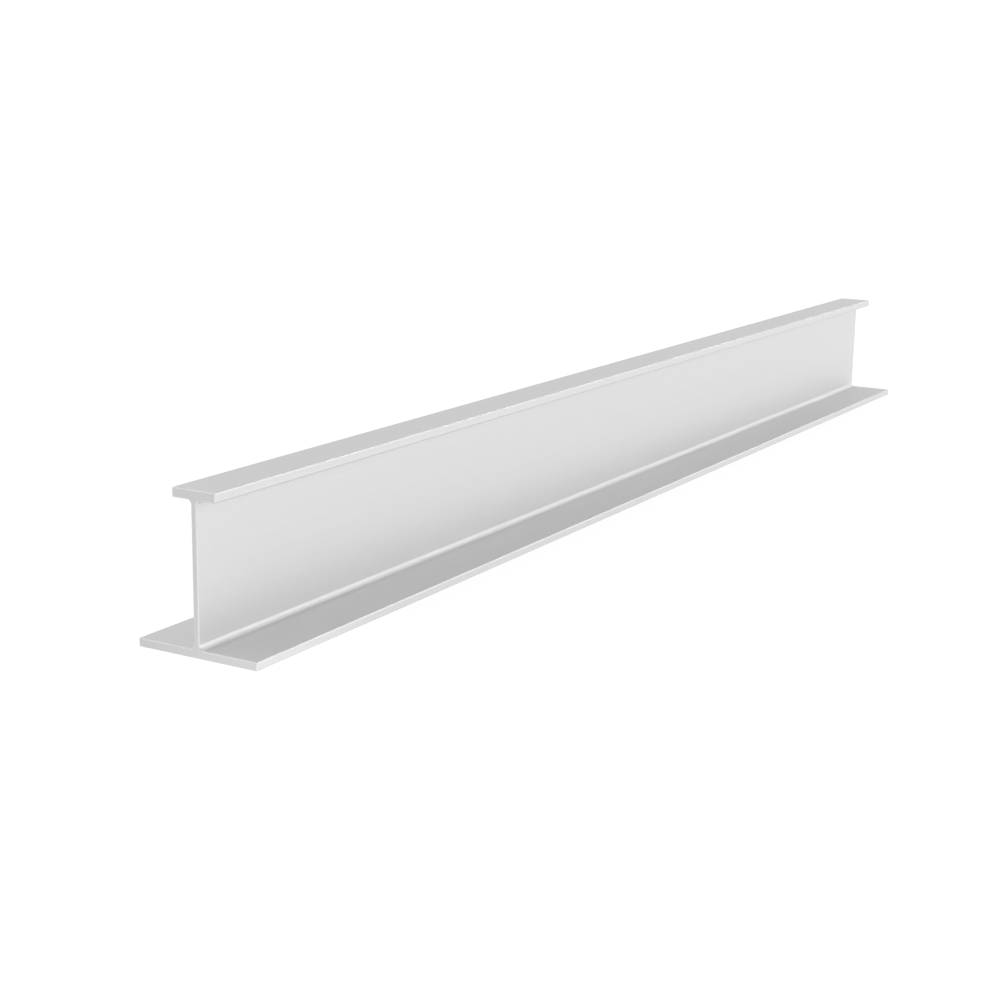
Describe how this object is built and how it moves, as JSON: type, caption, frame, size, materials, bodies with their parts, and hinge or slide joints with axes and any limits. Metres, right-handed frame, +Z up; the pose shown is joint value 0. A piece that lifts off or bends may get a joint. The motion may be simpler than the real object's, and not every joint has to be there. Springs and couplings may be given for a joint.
{
  "type": "aluminium h-profile",
  "caption": "Extruded aluminium h-profile: a straight bar with a wide base flange, a thin upright web and a narrow head flange.",
  "frame": {"origin": "middle of the underside of the base flange", "axes": "+X along the bar, +Y across the flanges, +Z up from the base flange to the narrow head flange"},
  "size_m": [1, 0.078, 0.09],
  "materials": {
    "mill_aluminium": "fine matt satin, as extruded or clear anodised"
  },
  "bodies": {
    "root": {"h_profile": "mill_aluminium"}
  },
  "joints": []
}
